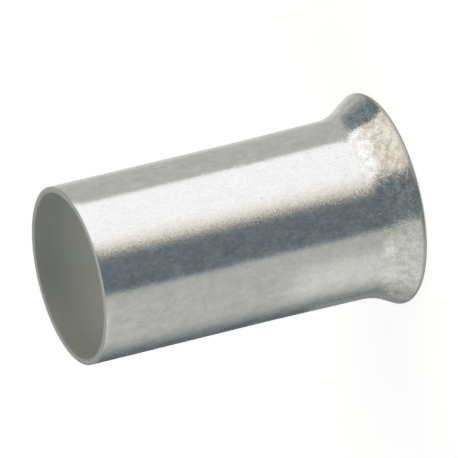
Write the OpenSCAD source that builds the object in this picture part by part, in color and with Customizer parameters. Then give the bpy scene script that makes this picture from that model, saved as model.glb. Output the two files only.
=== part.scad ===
// Wire ferrule: an uninsulated end sleeve of tin-plated copper for stranded conductors.
// It is one seamless tube, cut square at the end that enters the terminal and flared at
// the end where the conductor goes in. The wall keeps its thickness all the way through
// the flare. The sleeve stands on its flared lip, with its axis along +Z and the origin
// at the centre of the circle that the lip stands on.

/* [Tube] */
// Length over all, from the seat of the flared lip to the cut end
sleeve_l = 12; // [8:0.5:20]
// Diameter of the straight bore that takes the stripped conductor
bore_d = 5.9; // [4:0.1:12]
// Thickness of the wall
wall = 0.22; // [0.15:0.01:0.4]
// Rounding of the two edges at the cut end
edge_r = 0.05; // [0.02:0.01:0.06]

/* [Flared mouth] */
// How far the lip stands out beyond the straight barrel, on the radius
lip_reach = 0.61; // [0.5:0.01:1.2]
// Slope of the flare's cone, measured from the axis
flare_angle = 30; // [26:1:40]
// Outside radius of the neck, where the barrel turns into the cone
neck_r = 2; // [1:0.1:2.6]
// Depth of the flat seat on the rounded lip
seat_depth = 0.02; // [0.01:0.005:0.04]

/* [Relief] */
// Distance from the seat to where the tube starts to open towards the flare
relief_l = 5; // [3:0.2:7]
// Slope of that slow opening, measured from the axis
relief_angle = 0.7; // [0.4:0.1:1.4]

/* [Hidden] */
$fn = 120;

// How far a straight wall and an arc run into each other, so that they cross and don't just touch
bite = 0.0001;

bore_r = bore_d / 2;
barrel_r = bore_r + wall;
straight_top = sleeve_l - edge_r;

// Direction down a wall that slopes outwards by an angle, and the normal on its outside
function down(angle) = [sin(angle), -cos(angle)];
function outside(angle) = [cos(angle), sin(angle)];

// Where two outside lines meet: one runs down from p at slope a, the other ends at q at slope b
function meet(p, a, q, b) = q + down(b) * cross(q - p, down(a)) / cross(down(a), down(b));

// The lip's rounded edge has this centre, on the middle of the wall
lip_c = [barrel_r + lip_reach - wall / 2, wall / 2 - seat_depth];
lip_outside = lip_c + outside(flare_angle) * wall / 2;

// The neck is an arc that runs out of the relief and into the cone without a step
relief_outside = [barrel_r, relief_l];
neck_corner = meet(relief_outside, relief_angle, lip_outside, flare_angle);
neck_c = neck_corner
    + outside((flare_angle + relief_angle) / 2) * neck_r / cos((flare_angle - relief_angle) / 2);

// Everything within the surface that lies at a depth below the outside of the wall, in
// section: barrel, relief, neck and cone, carried past the cut end and the lip by a length
module within(depth, past) {
    top = straight_top + past;
    cone_end = lip_outside - outside(flare_angle) * depth + down(flare_angle) * past;
    floor_end = cone_end - outside(flare_angle) * 2 * wall;
    arc_r = neck_r + depth;
    difference() {
        polygon([
            [0, floor_end.y],
            floor_end,
            cone_end,
            neck_c - outside(flare_angle) * (arc_r - bite),
            neck_c,
            neck_c - outside(relief_angle) * (arc_r - bite),
            relief_outside - outside(relief_angle / 2) * depth / cos(relief_angle / 2),
            [barrel_r - depth, top],
            [0, top]
        ]);
        translate(neck_c)
            circle(r = arc_r);
    }
}

// The square-cut end with both of its edges rounded, in section
module cut_end() {
    translate([bore_r + edge_r, straight_top - edge_r])
        square([wall - 2 * edge_r, 2 * edge_r]);
    for (r = [bore_r + edge_r, barrel_r - edge_r])
        translate([r, straight_top])
            circle(r = edge_r);
}

// The wall from end to end, in section, with the lip cut flat where the sleeve stands
module wall_section() {
    difference() {
        union() {
            difference() {
                within(0, 0);
                within(wall, wall);
            }
            cut_end();
            translate(lip_c)
                circle(r = wall / 2 + bite);
        }
        translate([0, -wall])
            square([lip_c.x + wall, wall]);
    }
}

module sleeve() {
    color("gainsboro")
        rotate_extrude()
            wall_section();
}

sleeve();
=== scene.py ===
# Wire ferrule: a drawn copper end sleeve, tin plated, standing on its flared mouth.
import math
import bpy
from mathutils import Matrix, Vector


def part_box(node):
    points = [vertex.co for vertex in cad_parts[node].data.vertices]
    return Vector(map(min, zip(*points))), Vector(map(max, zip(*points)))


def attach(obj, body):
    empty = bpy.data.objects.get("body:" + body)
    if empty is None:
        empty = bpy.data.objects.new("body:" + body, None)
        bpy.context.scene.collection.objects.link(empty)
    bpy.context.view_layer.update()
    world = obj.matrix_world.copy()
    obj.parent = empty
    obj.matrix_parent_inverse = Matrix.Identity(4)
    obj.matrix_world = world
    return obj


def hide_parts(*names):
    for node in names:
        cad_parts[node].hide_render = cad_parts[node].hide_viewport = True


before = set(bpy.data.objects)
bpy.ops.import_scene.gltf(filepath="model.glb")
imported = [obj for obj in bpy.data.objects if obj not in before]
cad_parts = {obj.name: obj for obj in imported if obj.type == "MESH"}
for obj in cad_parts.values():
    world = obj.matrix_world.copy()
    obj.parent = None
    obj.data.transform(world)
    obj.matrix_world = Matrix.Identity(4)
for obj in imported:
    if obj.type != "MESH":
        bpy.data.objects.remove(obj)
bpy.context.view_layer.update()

from types import SimpleNamespace

import bpy
from mathutils import Matrix, Vector

MM = 0.001

# ---------------------------------------------------------------- sizes of the sleeve, in metres

sleeve_low, sleeve_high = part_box("sleeve")
SLEEVE_LENGTH = sleeve_high.z
MOUTH_RADIUS = sleeve_high.x
WALL = 0.22 * MM
BARREL_RADIUS = 3.17 * MM
BORE_RADIUS = BARREL_RADIUS - WALL
CUT_EDGE_RADIUS = 0.05 * MM
SEAT_DEPTH = 0.02 * MM
FLARE_ANGLE = math.radians(30)
NECK_RADIUS = 2.0 * MM
RELIEF_LENGTH = 5.0 * MM
RELIEF_ANGLE = math.radians(0.7)
RELIEF_BLEND = 30 * MM
SEAM_GAP = 0.001 * MM


def down(angle):
    """Direction in the section that runs towards the mouth and leans outward by this angle."""
    return Vector((math.sin(angle), -math.cos(angle)))


def outside(angle):
    """Direction that leaves the outer face of a wall with this lean."""
    return Vector((math.cos(angle), math.sin(angle)))


def meet(p, p_angle, q, q_angle):
    """Point where the wall line through p meets the wall line through q."""
    gap = q - p
    away, along = down(p_angle), down(q_angle)
    return q + along * (gap.x * away.y - gap.y * away.x) / (away.x * along.y - away.y * along.x)


def wall_corners():
    """Corners of the wall's section as (radius, height, rounding), from the lip up the outside."""
    lip_centre = Vector((MOUTH_RADIUS - WALL / 2, WALL / 2 - SEAT_DEPTH))
    lip_end = lip_centre + down(FLARE_ANGLE) * WALL / 2
    half_wall = outside(FLARE_ANGLE) * WALL / 2
    corners = []
    for depth, past in ((0.0, 0.0), (WALL, WALL)):
        barrel = Vector((BARREL_RADIUS - depth, RELIEF_LENGTH))
        relief = barrel + Vector((0, -depth * math.tan(RELIEF_ANGLE / 2)))
        cone = lip_centre + half_wall * (1 if depth == 0 else -1)
        neck = meet(relief, RELIEF_ANGLE, cone, FLARE_ANGLE)
        lip = lip_end + half_wall * (1 if depth == 0 else -1)
        side = [
            (lip, WALL / 2),
            (neck, NECK_RADIUS + past),
            (relief, RELIEF_BLEND),
            (Vector((barrel.x, SLEEVE_LENGTH)), CUT_EDGE_RADIUS),
        ]
        corners += side if depth == 0 else side[::-1]
    return corners


# ---------------------------------------------------------------- node helpers


def add(tree, kind, inputs=(), **settings):
    """A node of this kind with its settings, and its inputs set or linked by name or number."""
    made = tree.nodes.new(kind)
    for name, value in settings.items():
        setattr(made, name, value)
    for name, value in dict(inputs).items():
        if isinstance(value, bpy.types.NodeSocket):
            tree.links.new(value, made.inputs[name])
        else:
            made.inputs[name].default_value = value
    return made


def maths(tree, operation, *values, clamp=False):
    """The result of one Math node."""
    made = add(tree, "ShaderNodeMath", dict(enumerate(values)), operation=operation, use_clamp=clamp)
    return made.outputs[0]


def vector_maths(tree, operation, *values, result=0):
    """The result of one Vector Math node."""
    made = add(tree, "ShaderNodeVectorMath", dict(enumerate(values)), operation=operation)
    return made.outputs[result]


def ramp_between(tree, value, low, high, to_low=0.0, to_high=1.0, smooth=True):
    """The value mapped from low..high to to_low..to_high and held at the ends."""
    made = add(
        tree,
        "ShaderNodeMapRange",
        {"Value": value, "From Min": low, "From Max": high, "To Min": to_low, "To Max": to_high},
        interpolation_type="SMOOTHSTEP" if smooth else "LINEAR",
    )
    return made.outputs["Result"]


# ---------------------------------------------------------------- the sleeve, turned from its wall section


def turning_tree():
    """Rounds a wall section's corners, turns it round the axis and gives it its small irregularities."""
    tree = bpy.data.node_groups.new("turned_sleeve", "GeometryNodeTree")
    face = tree.interface
    face.new_socket("Section", in_out="INPUT", socket_type="NodeSocketGeometry")
    for name, kind in (
        ("Turning Radius", "NodeSocketFloat"),
        ("Steps Around", "NodeSocketInt"),
        ("Corner Steps", "NodeSocketInt"),
        ("Row Spacing", "NodeSocketFloat"),
        ("Lip Shift", "NodeSocketFloat"),
        ("Shifted Height", "NodeSocketFloat"),
        ("Wave Height", "NodeSocketFloat"),
        ("Waves Per Metre", "NodeSocketFloat"),
        ("Seed", "NodeSocketFloat"),
        ("Finish", "NodeSocketMaterial"),
    ):
        face.new_socket(name, in_out="INPUT", socket_type=kind)
    face.new_socket("Sleeve", in_out="OUTPUT", socket_type="NodeSocketGeometry")
    given = add(tree, "NodeGroupInput").outputs

    rounding = add(tree, "GeometryNodeInputRadius").outputs[0]
    rounded = add(
        tree,
        "GeometryNodeFilletCurve",
        {
            "Curve": given["Section"],
            "Count": given["Corner Steps"],
            "Radius": rounding,
            "Limit Radius": True,
        },
        mode="POLY",
    ).outputs["Curve"]

    place = add(tree, "GeometryNodeInputPosition").outputs[0]
    index = add(tree, "GeometryNodeInputIndex").outputs[0]
    points = add(tree, "GeometryNodeAttributeDomainSize", {"Geometry": rounded}, component="CURVE")
    following = maths(tree, "MODULO", maths(tree, "ADD", index, 1.0), points.outputs["Point Count"])
    following_place = add(
        tree,
        "GeometryNodeFieldAtIndex",
        {"Index": following, "Value": place},
        data_type="FLOAT_VECTOR",
        domain="POINT",
    ).outputs[0]
    stretch = vector_maths(tree, "DISTANCE", place, following_place, result="Value")
    cuts = maths(tree, "FLOOR", maths(tree, "DIVIDE", stretch, given["Row Spacing"]))
    section = add(tree, "GeometryNodeSubdivideCurve", {"Curve": rounded, "Cuts": cuts}).outputs[0]

    circle = add(
        tree,
        "GeometryNodeCurvePrimitiveCircle",
        {"Resolution": given["Steps Around"], "Radius": given["Turning Radius"]},
        mode="RADIUS",
    ).outputs["Curve"]
    turned = add(
        tree,
        "GeometryNodeCurveToMesh",
        {"Curve": circle, "Profile Curve": section, "Fill Caps": False},
    ).outputs["Mesh"]
    joined = add(
        tree,
        "GeometryNodeMergeByDistance",
        {"Geometry": turned, "Distance": SEAM_GAP},
    ).outputs[0]

    spot = add(tree, "ShaderNodeSeparateXYZ", {"Vector": place}).outputs
    axis_out = vector_maths(tree, "NORMALIZE", vector_maths(tree, "MULTIPLY", place, (1.0, 1.0, 0.0)))
    near_lip = ramp_between(tree, spot["Z"], given["Shifted Height"], 0.0)
    shift = maths(tree, "MULTIPLY", near_lip, given["Lip Shift"])
    wave = add(
        tree,
        "ShaderNodeTexNoise",
        {"Vector": place, "W": given["Seed"], "Scale": given["Waves Per Metre"], "Detail": 2.0},
        noise_dimensions="4D",
    ).outputs[0]
    swell = maths(tree, "MULTIPLY", maths(tree, "SUBTRACT", wave, 0.5), given["Wave Height"])
    aside = add(tree, "ShaderNodeCombineXYZ", {"X": shift}).outputs[0]
    swollen = add(tree, "ShaderNodeVectorMath", {0: axis_out, "Scale": swell}, operation="SCALE").outputs[0]
    moved = vector_maths(tree, "ADD", aside, swollen)
    seated = add(
        tree,
        "ShaderNodeCombineXYZ",
        {"X": spot["X"], "Y": spot["Y"], "Z": maths(tree, "MAXIMUM", spot["Z"], 0.0)},
    ).outputs[0]
    shaped = add(
        tree,
        "GeometryNodeSetPosition",
        {"Geometry": joined, "Position": seated, "Offset": moved},
    ).outputs[0]

    facing = add(tree, "GeometryNodeInputNormal").outputs[0]
    outward = vector_maths(tree, "DOT_PRODUCT", facing, axis_out, result="Value")
    marked = add(
        tree,
        "GeometryNodeStoreNamedAttribute",
        {"Geometry": shaped, "Name": "bore_side", "Value": ramp_between(tree, outward, 0.3, -0.3)},
        data_type="FLOAT",
        domain="POINT",
    ).outputs[0]
    smooth = add(tree, "GeometryNodeSetShadeSmooth", {"Geometry": marked, "Shade Smooth": True}).outputs[0]
    real = add(tree, "GeometryNodeRealizeInstances", {"Geometry": smooth}).outputs[0]
    finished = add(
        tree,
        "GeometryNodeSetMaterial",
        {"Geometry": real, "Material": given["Finish"]},
    ).outputs[0]
    add(tree, "NodeGroupOutput", {"Sleeve": finished})
    return tree


def make_sleeve(finish):
    """The sleeve as a plain mesh with its place in its vertices."""
    section = bpy.data.curves.new("wall_section", "CURVE")
    section.dimensions = "3D"
    spline = section.splines.new("POLY")
    corners = wall_corners()[::-1]
    spline.points.add(len(corners) - 1)
    for point, (place, rounding) in zip(spline.points, corners):
        point.co = (place.x - BORE_RADIUS, -place.y, 0.0, 1.0)
        point.radius = rounding
    spline.use_cyclic_u = True
    holder = bpy.data.objects.new("wall_section", section)
    bpy.context.scene.collection.objects.link(holder)

    turning = holder.modifiers.new("turning", "NODES")
    turning.node_group = turning_tree()
    sizes = {
        "Turning Radius": BORE_RADIUS,
        "Steps Around": 256,
        "Corner Steps": 12,
        "Row Spacing": 0.3 * MM,
        "Lip Shift": 0.09 * MM,
        "Shifted Height": 1.6 * MM,
        "Wave Height": 0.004 * MM,
        "Waves Per Metre": 0.5 / MM,
        "Seed": 3.0,
        "Finish": finish,
    }
    for socket in turning.node_group.interface.items_tree:
        if socket.in_out == "INPUT" and socket.name in sizes:
            turning[socket.identifier] = sizes[socket.name]
    bpy.context.view_layer.update()

    built = holder.evaluated_get(bpy.context.evaluated_depsgraph_get())
    mesh = bpy.data.meshes.new_from_object(built)
    mesh.name = "plated_sleeve"
    bpy.data.objects.remove(holder)
    sleeve = bpy.data.objects.new("plated_sleeve", mesh)
    bpy.context.scene.collection.objects.link(sleeve)
    return sleeve


# ---------------------------------------------------------------- tin plate

TIN_COOL = (0.685, 0.695, 0.715, 1.0)
TIN_WARM = (0.92, 0.90, 0.87, 1.0)
# tan and pale speckles over the flare, stronger on its front
FLARE_BLOTCH_DARK = (0.64, 0.61, 0.56, 1.0)
FLARE_BLOTCH_PALE = (0.99, 0.99, 0.98, 1.0)
BORE_AT_END = (0.54, 0.567, 0.553, 1.0)
# the bore's paler deep colour is painted light, standing in for light that comes up the bore
BORE_DEEP_PAINTED_LIGHT = (0.85, 0.87, 0.85, 1.0)
BORE_STAIN = (0.75, 0.62, 0.45, 1.0)
CUT_END = (0.68, 0.69, 0.69, 1.0)
LIP_EDGE = (0.58, 0.565, 0.54, 1.0)

SATIN_ROUGHNESS = (0.13, 0.17)
CUT_ROUGHNESS = 0.42
BORE_ROUGHNESS = 0.7
HAZE_ROUGHNESS = 0.7
DIMPLE_DEPTH = 0.004 * MM
PINHOLE_SPACING = 0.13 * MM
GRAIN_SIZE = 0.05 * MM

# zones as (where one starts, where it is full), in metres above the seat
FLARE_ZONE = (3.4 * MM, 1.0 * MM)
FLARE_BLOTCH_ZONE = (2.7 * MM, 1.6 * MM)
FLARE_BLOTCH_RAGGEDNESS = 1.4 * MM
LIP_ZONE = (0.17 * MM, 0.13 * MM)
CUT_END_ZONE = (SLEEVE_LENGTH - 0.05 * MM, SLEEVE_LENGTH - 0.03 * MM)
# where the bore's painted light fades in, from just inside the cut end downward
BORE_PAINTED_LIGHT_ZONE = (SLEEVE_LENGTH - 0.2 * MM, SLEEVE_LENGTH - 2.4 * MM)

# the side that other sleeves rubbed against, in radians round from the front
SCUFF_START = (math.radians(-9), math.radians(0))
SCUFF_END = math.radians(14)
SCUFF_FADE = math.radians(12)
SCUFF_WIDENING = math.radians(40)
# where the softbox's highlight falls on the barrel: the clouds are evened out there, a painted clean
# highlight
HIGHLIGHT_EVEN_START = (math.radians(-12), math.radians(4))
HIGHLIGHT_EVEN_END = (math.radians(56), math.radians(42))


def blend(tree, share, first, second):
    """One colour passing into another."""
    made = add(tree, "ShaderNodeMix", {0: share, 6: first, 7: second}, data_type="RGBA")
    return made.outputs[2]


def crossed(tree, share, first, second):
    """One value passing into another."""
    made = add(tree, "ShaderNodeMix", {0: share, 2: first, 3: second}, data_type="FLOAT")
    return made.outputs[0]


def weighted(tree, *pairs):
    """Sum of each value times its weight."""
    total = 0.0
    for value, weight in pairs:
        total = maths(tree, "ADD", maths(tree, "MULTIPLY", value, weight), total)
    return total


def cloud(tree, place, size, detail, rough, stretch=1.0):
    """Soft noise whose spots measure about this size, and this many times as much along the axis."""
    squeezed = vector_maths(tree, "MULTIPLY", place, (1.0, 1.0, 1.0 / stretch))
    made = add(
        tree,
        "ShaderNodeTexNoise",
        {"Vector": squeezed, "Scale": 1.0 / size, "Detail": detail, "Roughness": rough},
    )
    return made.outputs[0]


def surface_fields(tree):
    """What the finish goes by: zones of the sleeve, soft noises and pinholes, each from 0 to 1."""
    at = SimpleNamespace()
    at.place = add(tree, "ShaderNodeTexCoord").outputs["Object"]
    across, depth, at.level = add(tree, "ShaderNodeSeparateXYZ", {"Vector": at.place}).outputs
    at.bore = add(tree, "ShaderNodeAttribute", attribute_name="bore_side").outputs["Fac"]
    at.flared = ramp_between(tree, at.level, *FLARE_ZONE)
    at.lip = ramp_between(tree, at.level, *LIP_ZONE)
    at.cut_edge = maths(tree, "MAXIMUM", at.lip, ramp_between(tree, at.level, *CUT_END_ZONE))

    # grain is scuffed onto one side, wider on the flare, where the flare's blotches are stronger too, and
    # the clouds are evened out where the softbox's highlight falls, a painted clean highlight
    around = maths(tree, "ARCTAN2", across, maths(tree, "MULTIPLY", depth, -1.0))
    widening = maths(tree, "MULTIPLY", at.flared, SCUFF_WIDENING)
    far_side = maths(tree, "ADD", widening, SCUFF_END)
    before_end = ramp_between(tree, maths(tree, "SUBTRACT", around, far_side), SCUFF_FADE, 0.0)
    after_start = ramp_between(tree, around, *SCUFF_START)
    at.scuffed = maths(tree, "MULTIPLY", after_start, before_end)
    wiped_start = ramp_between(tree, around, *HIGHLIGHT_EVEN_START)
    wiped_end = ramp_between(tree, around, *HIGHLIGHT_EVEN_END)
    at.wiped = maths(tree, "MULTIPLY", wiped_start, wiped_end)

    at.dents = cloud(tree, at.place, 0.6 * MM, 3.0, 0.6)
    at.blotches = cloud(tree, at.place, 0.45 * MM, 4.0, 0.7, 1.5)
    at.fibres = cloud(tree, at.place, 0.08 * MM, 2.0, 0.6, 2.5)
    at.specks = cloud(tree, at.place, 0.3 * MM, 5.0, 0.85)

    dots = add(tree, "ShaderNodeTexVoronoi", {"Vector": at.place, "Scale": 1.0 / PINHOLE_SPACING})
    chosen = add(tree, "ShaderNodeSeparateColor", {"Color": dots.outputs["Color"]}).outputs["Red"]
    rare = ramp_between(tree, at.flared, 0.0, 1.0, 0.975, 0.45, smooth=False)
    inside = ramp_between(tree, dots.outputs["Distance"], 0.32, 0.08)
    at.pinholes = maths(tree, "MULTIPLY", inside, maths(tree, "GREATER_THAN", chosen, rare))
    return at


def outer_colour(tree, at):
    """Clouded tin, blotched tan and pale on the flare, with the bare metal of the two cut edges."""
    speckled = ramp_between(tree, at.specks, 0.4, 0.6)
    clouds = weighted(
        tree,
        (ramp_between(tree, at.blotches, 0.38, 0.62), 0.35),
        (speckled, 0.4),
        (ramp_between(tree, at.fibres, 0.3, 0.7), 0.25),
    )
    # the clouds lose most of their contrast under the softbox highlight, a painted clean highlight
    contrast = weighted(tree, (at.wiped, -0.75), (1.0, 1.0))
    swing = maths(tree, "SUBTRACT", clouds, 0.5)
    plain = blend(tree, weighted(tree, (swing, contrast), (0.5, 1.0)), TIN_COOL, TIN_WARM)
    blotched = blend(tree, speckled, FLARE_BLOTCH_DARK, FLARE_BLOTCH_PALE)
    # the flare's tan and pale blotches reach up to a ragged edge, stronger on the front
    border = weighted(tree, (at.specks, FLARE_BLOTCH_RAGGEDNESS), (at.level, 1.0))
    reach = ramp_between(tree, border, *FLARE_BLOTCH_ZONE)
    blotching = maths(tree, "MULTIPLY", reach, weighted(tree, (at.scuffed, 0.4), (0.5, 1.0)))
    edges = blend(tree, at.lip, CUT_END, LIP_EDGE)
    return blend(tree, at.cut_edge, blend(tree, blotching, plain, blotched), edges)


def bore_colour(tree, at):
    """Dull tin with painted light that makes it paler with depth, faintly stained."""
    # painted light: the bore gets paler deeper down
    painted_paling = ramp_between(tree, at.level, *BORE_PAINTED_LIGHT_ZONE)
    stains = weighted(
        tree,
        (ramp_between(tree, at.dents, 0.3, 0.7), 0.07),
        (ramp_between(tree, at.fibres, 0.3, 0.7), 0.07),
    )
    return blend(tree, stains, blend(tree, painted_paling, BORE_AT_END, BORE_DEEP_PAINTED_LIGHT), BORE_STAIN)


def surface_normal(tree, at):
    """Shallow dents and pinholes, on a surface whose grains each lean their own way."""
    facing = add(tree, "ShaderNodeNewGeometry").outputs["Normal"]
    grains = add(
        tree,
        "ShaderNodeTexNoise",
        {"Vector": at.place, "Scale": 1.0 / GRAIN_SIZE, "Detail": 1.0},
    ).outputs["Color"]
    lean = add(
        tree,
        "ShaderNodeVectorMath",
        {
            0: vector_maths(tree, "SUBTRACT", grains, (0.5, 0.5, 0.5)),
            "Scale": weighted(tree, (at.flared, 0.03), (at.scuffed, 0.1), (0.06, 1.0)),
        },
        operation="SCALE",
    ).outputs[0]
    grained = vector_maths(tree, "NORMALIZE", vector_maths(tree, "ADD", facing, lean))
    denting = weighted(tree, (at.flared, 2.2), (0.2, 1.0))
    height = weighted(tree, (at.dents, denting), (at.pinholes, -0.5))
    return add(
        tree,
        "ShaderNodeBump",
        {"Strength": 1.0, "Distance": DIMPLE_DEPTH, "Height": height, "Normal": grained},
    ).outputs[0]


def tin_plate():
    """Satin tin: polished metal under a patchy haze, with duller cut edges and a dull bore."""
    material = bpy.data.materials.new("satin_tin")
    material.use_nodes = True
    tree = material.node_tree
    tree.nodes.clear()
    at = surface_fields(tree)
    colour = blend(tree, at.bore, outer_colour(tree, at), bore_colour(tree, at))
    satin = ramp_between(tree, at.blotches, 0.3, 0.7, *SATIN_ROUGHNESS)
    outer_roughness = crossed(tree, at.cut_edge, satin, CUT_ROUGHNESS)
    roughness = crossed(tree, at.bore, outer_roughness, BORE_ROUGHNESS)
    polished = add(
        tree,
        "ShaderNodeBsdfPrincipled",
        {
            "Base Color": colour,
            "Metallic": 1.0,
            "Roughness": roughness,
            "Normal": surface_normal(tree, at),
        },
    ).outputs[0]
    hazy = add(
        tree,
        "ShaderNodeBsdfPrincipled",
        {"Base Color": colour, "Metallic": 1.0, "Roughness": HAZE_ROUGHNESS},
    ).outputs[0]
    haze = weighted(
        tree,
        (ramp_between(tree, at.fibres, 0.33, 0.7), 0.16),
        (ramp_between(tree, at.blotches, 0.4, 0.62), 0.08),
        (at.pinholes, 0.5),
    )
    both = add(tree, "ShaderNodeMixShader", {0: haze, 1: polished, 2: hazy}).outputs[0]
    add(tree, "ShaderNodeOutputMaterial", {"Surface": both})
    return material


# ---------------------------------------------------------------- studio

CARD_RADIUS = 130 * MM
CARD_GAP = 1.5 * MM
CARD_STEP = math.radians(3)
FLOOR_HALF_SIZE = 1.2
FLOOR_TONE = (0.9, 0.9, 0.9, 1.0)
FLOOR_LIFT = (0.6, 0.6, 0.6, 1.0)
EVEN_LIGHT = 0.3


def feather_group():
    """Mask that falls off towards each side of a card; each input is a share of its width or height."""
    tree = bpy.data.node_groups.new("card_feather", "ShaderNodeTree")
    for side in ("Left", "Right", "Bottom", "Top"):
        tree.interface.new_socket(side, in_out="INPUT", socket_type="NodeSocketFloat")
    tree.interface.new_socket("Mask", in_out="OUTPUT", socket_type="NodeSocketFloat")
    given = add(tree, "NodeGroupInput").outputs
    across = add(tree, "ShaderNodeSeparateXYZ", {"Vector": add(tree, "ShaderNodeUVMap").outputs[0]}).outputs
    rest_across = maths(tree, "SUBTRACT", 1.0, across["X"])
    rest_up = maths(tree, "SUBTRACT", 1.0, across["Y"])
    sides = (("Left", across["X"]), ("Right", rest_across), ("Bottom", across["Y"]), ("Top", rest_up))
    mask = 1.0
    for side, distance in sides:
        mask = maths(tree, "MULTIPLY", ramp_between(tree, distance, 0.0, given[side]), mask)
    add(tree, "NodeGroupOutput", {"Mask": mask})
    return tree


FEATHER = feather_group()


def card_light(name, colour, feathers):
    """A card's even glow, thinning out towards its feathered sides."""
    material = bpy.data.materials.new(name)
    material.use_nodes = True
    tree = material.node_tree
    tree.nodes.clear()
    mask = add(tree, "ShaderNodeGroup", node_tree=FEATHER)
    for side, share in zip(("Left", "Right", "Bottom", "Top"), feathers):
        mask.inputs[side].default_value = max(share, 1e-4)
    clear = add(tree, "ShaderNodeBsdfTransparent").outputs[0]
    glow = add(tree, "ShaderNodeEmission", {"Color": (*colour, 1.0), "Strength": 1.0}).outputs[0]
    mixed = add(tree, "ShaderNodeMixShader", {0: mask.outputs["Mask"], 1: clear, 2: glow}).outputs[0]
    add(tree, "ShaderNodeOutputMaterial", {"Surface": mixed})
    return material


def card(name, low, high, colour, feathers=(0, 0, 0, 0), radius=CARD_RADIUS, lights_floor=True):
    """A curved card round the sleeve, seen only in reflections and by the light it gives.

    low and high are (elevation, from azimuth, to azimuth) of its lower and upper edge, in degrees,
    and feathers are how many degrees it takes to fade out at the left, right, bottom and top.
    """
    (low_edge, low_start, low_end), (high_edge, high_start, high_end) = low, high

    def height(elevation):
        return SLEEVE_LENGTH / 2 + radius * math.tan(math.radians(elevation))

    bottom, top = height(low_edge), height(high_edge)
    left, right, below, above = feathers
    width = max(low_end - low_start, high_end - high_start)
    shares = (
        left / width,
        right / width,
        (height(low_edge + below) - bottom) / (top - bottom),
        (top - height(high_edge - above)) / (top - bottom),
    )
    rims = ((bottom, low_start, low_end), (top, high_start, high_end))
    steps = max(1, math.ceil(math.radians(width) / CARD_STEP))
    places, spots = [], []
    for step in range(steps + 1):
        share = step / steps
        for v, (z, start, end) in enumerate(rims):
            turn = math.radians(start + (end - start) * share)
            places.append((radius * math.sin(turn), -radius * math.cos(turn), z))
            spots.append((share, v))
    faces = [(2 * i, 2 * i + 2, 2 * i + 3, 2 * i + 1) for i in range(steps)]
    mesh = bpy.data.meshes.new(name)
    mesh.from_pydata(places, [], faces)
    uv = mesh.uv_layers.new(name="UVMap")
    for loop in mesh.loops:
        uv.data[loop.index].uv = spots[loop.vertex_index]
    mesh.materials.append(card_light(name, colour, shares))
    made = bpy.data.objects.new(name, mesh)
    bpy.context.scene.collection.objects.link(made)
    made.visible_camera = False
    made.visible_shadow = False
    made.visible_diffuse = lights_floor
    return made


def hang_cards():
    """Grey room, softbox with a warm top, a dark gap beside it and a dark flag beyond it."""
    layers = (
        ("grey_room", (-62, -180, 180), (66, -180, 180), (0.51, 0.52, 0.49), (0, 0, 0, 0)),
        ("table_shade", (-62, -60, 120), (-31, -60, 120), (0.33, 0.34, 0.345), (20, 16, 0, 3)),
        ("edge_reflector", (-62, 140, 180), (-6, 140, 180), (0.74, 0.75, 0.73), (26, 0, 0, 6)),
        ("left_reflector", (-2, -124, -38), (66, -124, -38), (0.66, 0.66, 0.64), (18, 26, 8, 0)),
        ("left_glow", (-16, -117, -38), (4, -117, -38), (0.89, 0.89, 0.86), (22, 28, 4, 6)),
        ("back_shade_low", (-62, -180, -102), (-6, -180, -102), (0.10, 0.125, 0.14), (0, 50, 0, 12)),
        ("back_shade_high", (-10, -180, -118), (66, -180, -118), (0.30, 0.31, 0.315), (0, 16, 6, 0)),
        ("dark_gap", (-62, -46.5, 40), (66, -28, 40), (0.13, 0.16, 0.18), (9, 0, 0, 0)),
        ("warm_fringe", (-33, -0.5, 90), (3, 14, 91), (0.90, 0.84, 0.70), (22, 0, 3, 0)),
        ("warm_top", (-4, 17, 103), (66, 17, 103), (0.87, 0.82, 0.72), (20, 0, 6, 0)),
        ("softbox_foot", (-33, 14, 91), (-15, 16, 94), (1.2, 1.2, 1.21), (26, 3, 3, 0)),
        ("softbox", (-15, 16, 98), (17, 28, 100), (1.2, 1.2, 1.21), (22, 3, 0, 18)),
        ("dark_flag", (-15, 98, 144), (66, 103, 144), (0.13, 0.17, 0.195), (2, 24, 9, 0)),
    )
    for layer, (name, low, high, colour, feathers) in enumerate(layers):
        card(name, low, high, colour, feathers, CARD_RADIUS - layer * CARD_GAP)
    for name, low, high, colour, feathers, radius in (
        ("back_kicker", (-50, -178, -120), (-27, -178, -120), (0.25, 0.26, 0.27), (4, 16, 0, 1), 13 * MM),
        ("kicker", (-50, -114, -45), (-21, -114, -45), (0.73, 0.73, 0.70), (34, 24, 0, 1), 12 * MM),
    ):
        card(name, low, high, colour, feathers, radius, lights_floor=False)


def background_glow(tree):
    """1 where a camera, mirror or glass ray looks at the backdrop, otherwise 0."""
    ray = add(tree, "ShaderNodeLightPath").outputs
    seen = maths(tree, "MAXIMUM", ray["Is Camera Ray"], ray["Is Glossy Ray"])
    return maths(tree, "MAXIMUM", seen, ray["Is Transmission Ray"])


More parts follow.
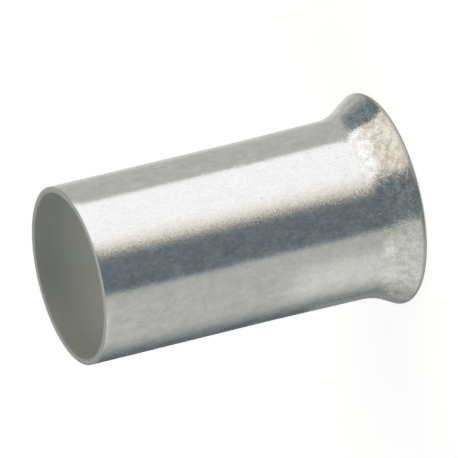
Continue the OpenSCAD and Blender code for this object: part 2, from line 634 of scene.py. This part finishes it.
def make_floor():
    """A plain pale floor that keeps a soft shadow."""
    size = FLOOR_HALF_SIZE
    mesh = bpy.data.meshes.new("floor")
    corners = [(-size, -size, 0), (size, -size, 0), (size, size, 0), (-size, size, 0)]
    mesh.from_pydata(corners, [], [(0, 1, 2, 3)])
    floor = bpy.data.objects.new("floor", mesh)
    bpy.context.scene.collection.objects.link(floor)
    material = bpy.data.materials.new("floor")
    material.use_nodes = True
    tree = material.node_tree
    tree.nodes.clear()
    matt = add(tree, "ShaderNodeBsdfDiffuse", {"Color": FLOOR_TONE}).outputs[0]
    lift = add(
        tree,
        "ShaderNodeEmission",
        {"Color": FLOOR_LIFT, "Strength": background_glow(tree)},
    ).outputs[0]
    both = add(tree, "ShaderNodeAddShader", {0: matt, 1: lift}).outputs[0]
    add(tree, "ShaderNodeOutputMaterial", {"Surface": both})
    mesh.materials.append(material)
    floor.visible_glossy = False
    return floor


def make_world():
    """White behind everything, and a low even light."""
    world = bpy.data.worlds.new("studio")
    world.use_nodes = True
    tree = world.node_tree
    tree.nodes.clear()
    glow = ramp_between(tree, background_glow(tree), 0.0, 1.0, EVEN_LIGHT, 1.0, smooth=False)
    light = add(tree, "ShaderNodeBackground", {"Color": (1.0, 1.0, 1.0, 1.0), "Strength": glow}).outputs[0]
    add(tree, "ShaderNodeOutputWorld", {"Surface": light})
    bpy.context.scene.world = world


def make_camera():
    """The camera looks down from the front, turned so that the sleeve lies across the view."""
    look_down = math.radians(21.061)
    roll = math.radians(-103.615)
    aim = Vector((0.2818 * MM, 0.0, 5.8003 * MM))
    distance = 317.2 * MM
    data = bpy.data.cameras.new("camera")
    data.sensor_width = 36
    data.lens = 715.54
    data.clip_start = 10 * MM
    data.clip_end = 10
    camera = bpy.data.objects.new("camera", data)
    bpy.context.scene.collection.objects.link(camera)
    turn = Matrix.Rotation(math.pi / 2 - look_down, 4, "X") @ Matrix.Rotation(roll, 4, "Z")
    back = Vector((0.0, -math.cos(look_down), math.sin(look_down)))
    camera.matrix_world = Matrix.Translation(aim + back * distance) @ turn
    bpy.context.scene.camera = camera


# ---------------------------------------------------------------- put together

sleeve = make_sleeve(tin_plate())
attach(sleeve, "root")
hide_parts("sleeve")

make_floor()
make_world()
make_camera()
hang_cards()
bpy.context.scene.view_settings.view_transform = "Standard"
